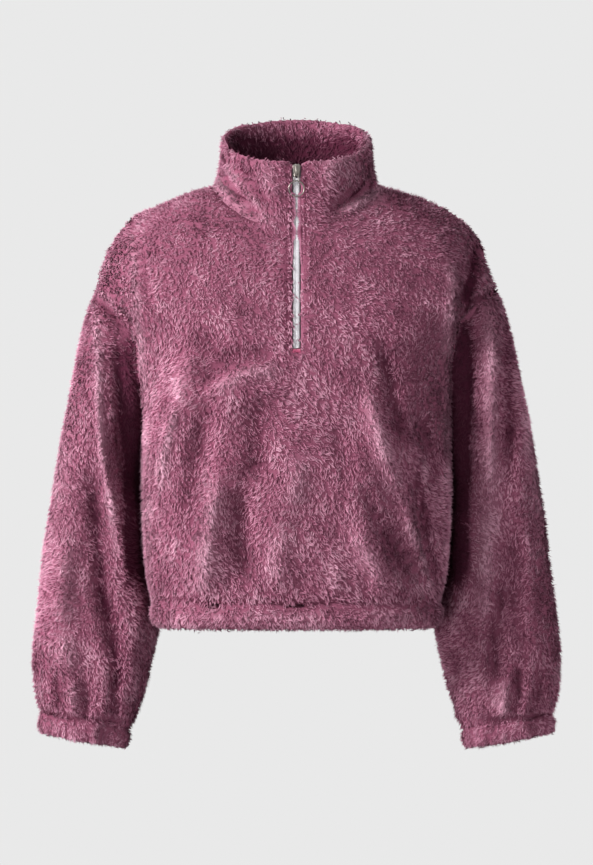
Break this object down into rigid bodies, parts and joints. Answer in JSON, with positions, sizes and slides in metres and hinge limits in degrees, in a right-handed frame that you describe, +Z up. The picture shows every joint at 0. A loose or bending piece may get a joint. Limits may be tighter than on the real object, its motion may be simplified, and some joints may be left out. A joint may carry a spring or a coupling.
{
  "type": "half-zip fleece pullover",
  "caption": "Cropped half-zip pullover in deep-pile fleece, hollow as if worn, with a stand collar, gathered cuffs and hem, and a zip whose ring pull swings.",
  "frame": {"origin": "middle of the neck opening, level with the points where the shoulder seams meet the collar, where the wearer's shoulders hold it", "axes": "+Z up the wearer's body, -Y out of the front with the zip, +X to the right of someone who looks at the front"},
  "size_m": [0.598, 0.2384, 0.7076],
  "materials": {
    "front": "deep-pile fleece",
    "back": "deep-pile fleece",
    "sleeve_left": "deep-pile fleece",
    "sleeve_right": "deep-pile fleece",
    "collar": "deep-pile fleece, folded double",
    "hem_band": "deep-pile fleece over elastic",
    "cuff_left": "deep-pile fleece over elastic",
    "cuff_right": "deep-pile fleece over elastic",
    "zip_tape_left": "woven tape",
    "zip_tape_right": "woven tape",
    "zip_chain": "silvery coil teeth",
    "zip_stop": "close stitching",
    "zip_slider": "polished",
    "zip_pull": "polished wire"
  },
  "bodies": {
    "garment": {"front": "front", "back": "back", "sleeve_left": "sleeve_left", "sleeve_right": "sleeve_right", "collar": "collar", "hem_band": "hem_band", "cuff_left": "cuff_left", "cuff_right": "cuff_right", "zip_tape_left": "zip_tape_left", "zip_tape_right": "zip_tape_right", "zip_chain": "zip_chain", "zip_stop": "zip_stop", "zip_slider": "zip_slider"},
    "pull": {"zip_pull": "zip_pull"}
  },
  "joints": [
    {"name": "pull_hinge", "type": "hinge", "parent": "garment", "child": "pull", "pos_m": [0, -0.0825, 0.0104], "axis": [-1, 0, 0], "range_deg": [0, 150]}
  ]
}
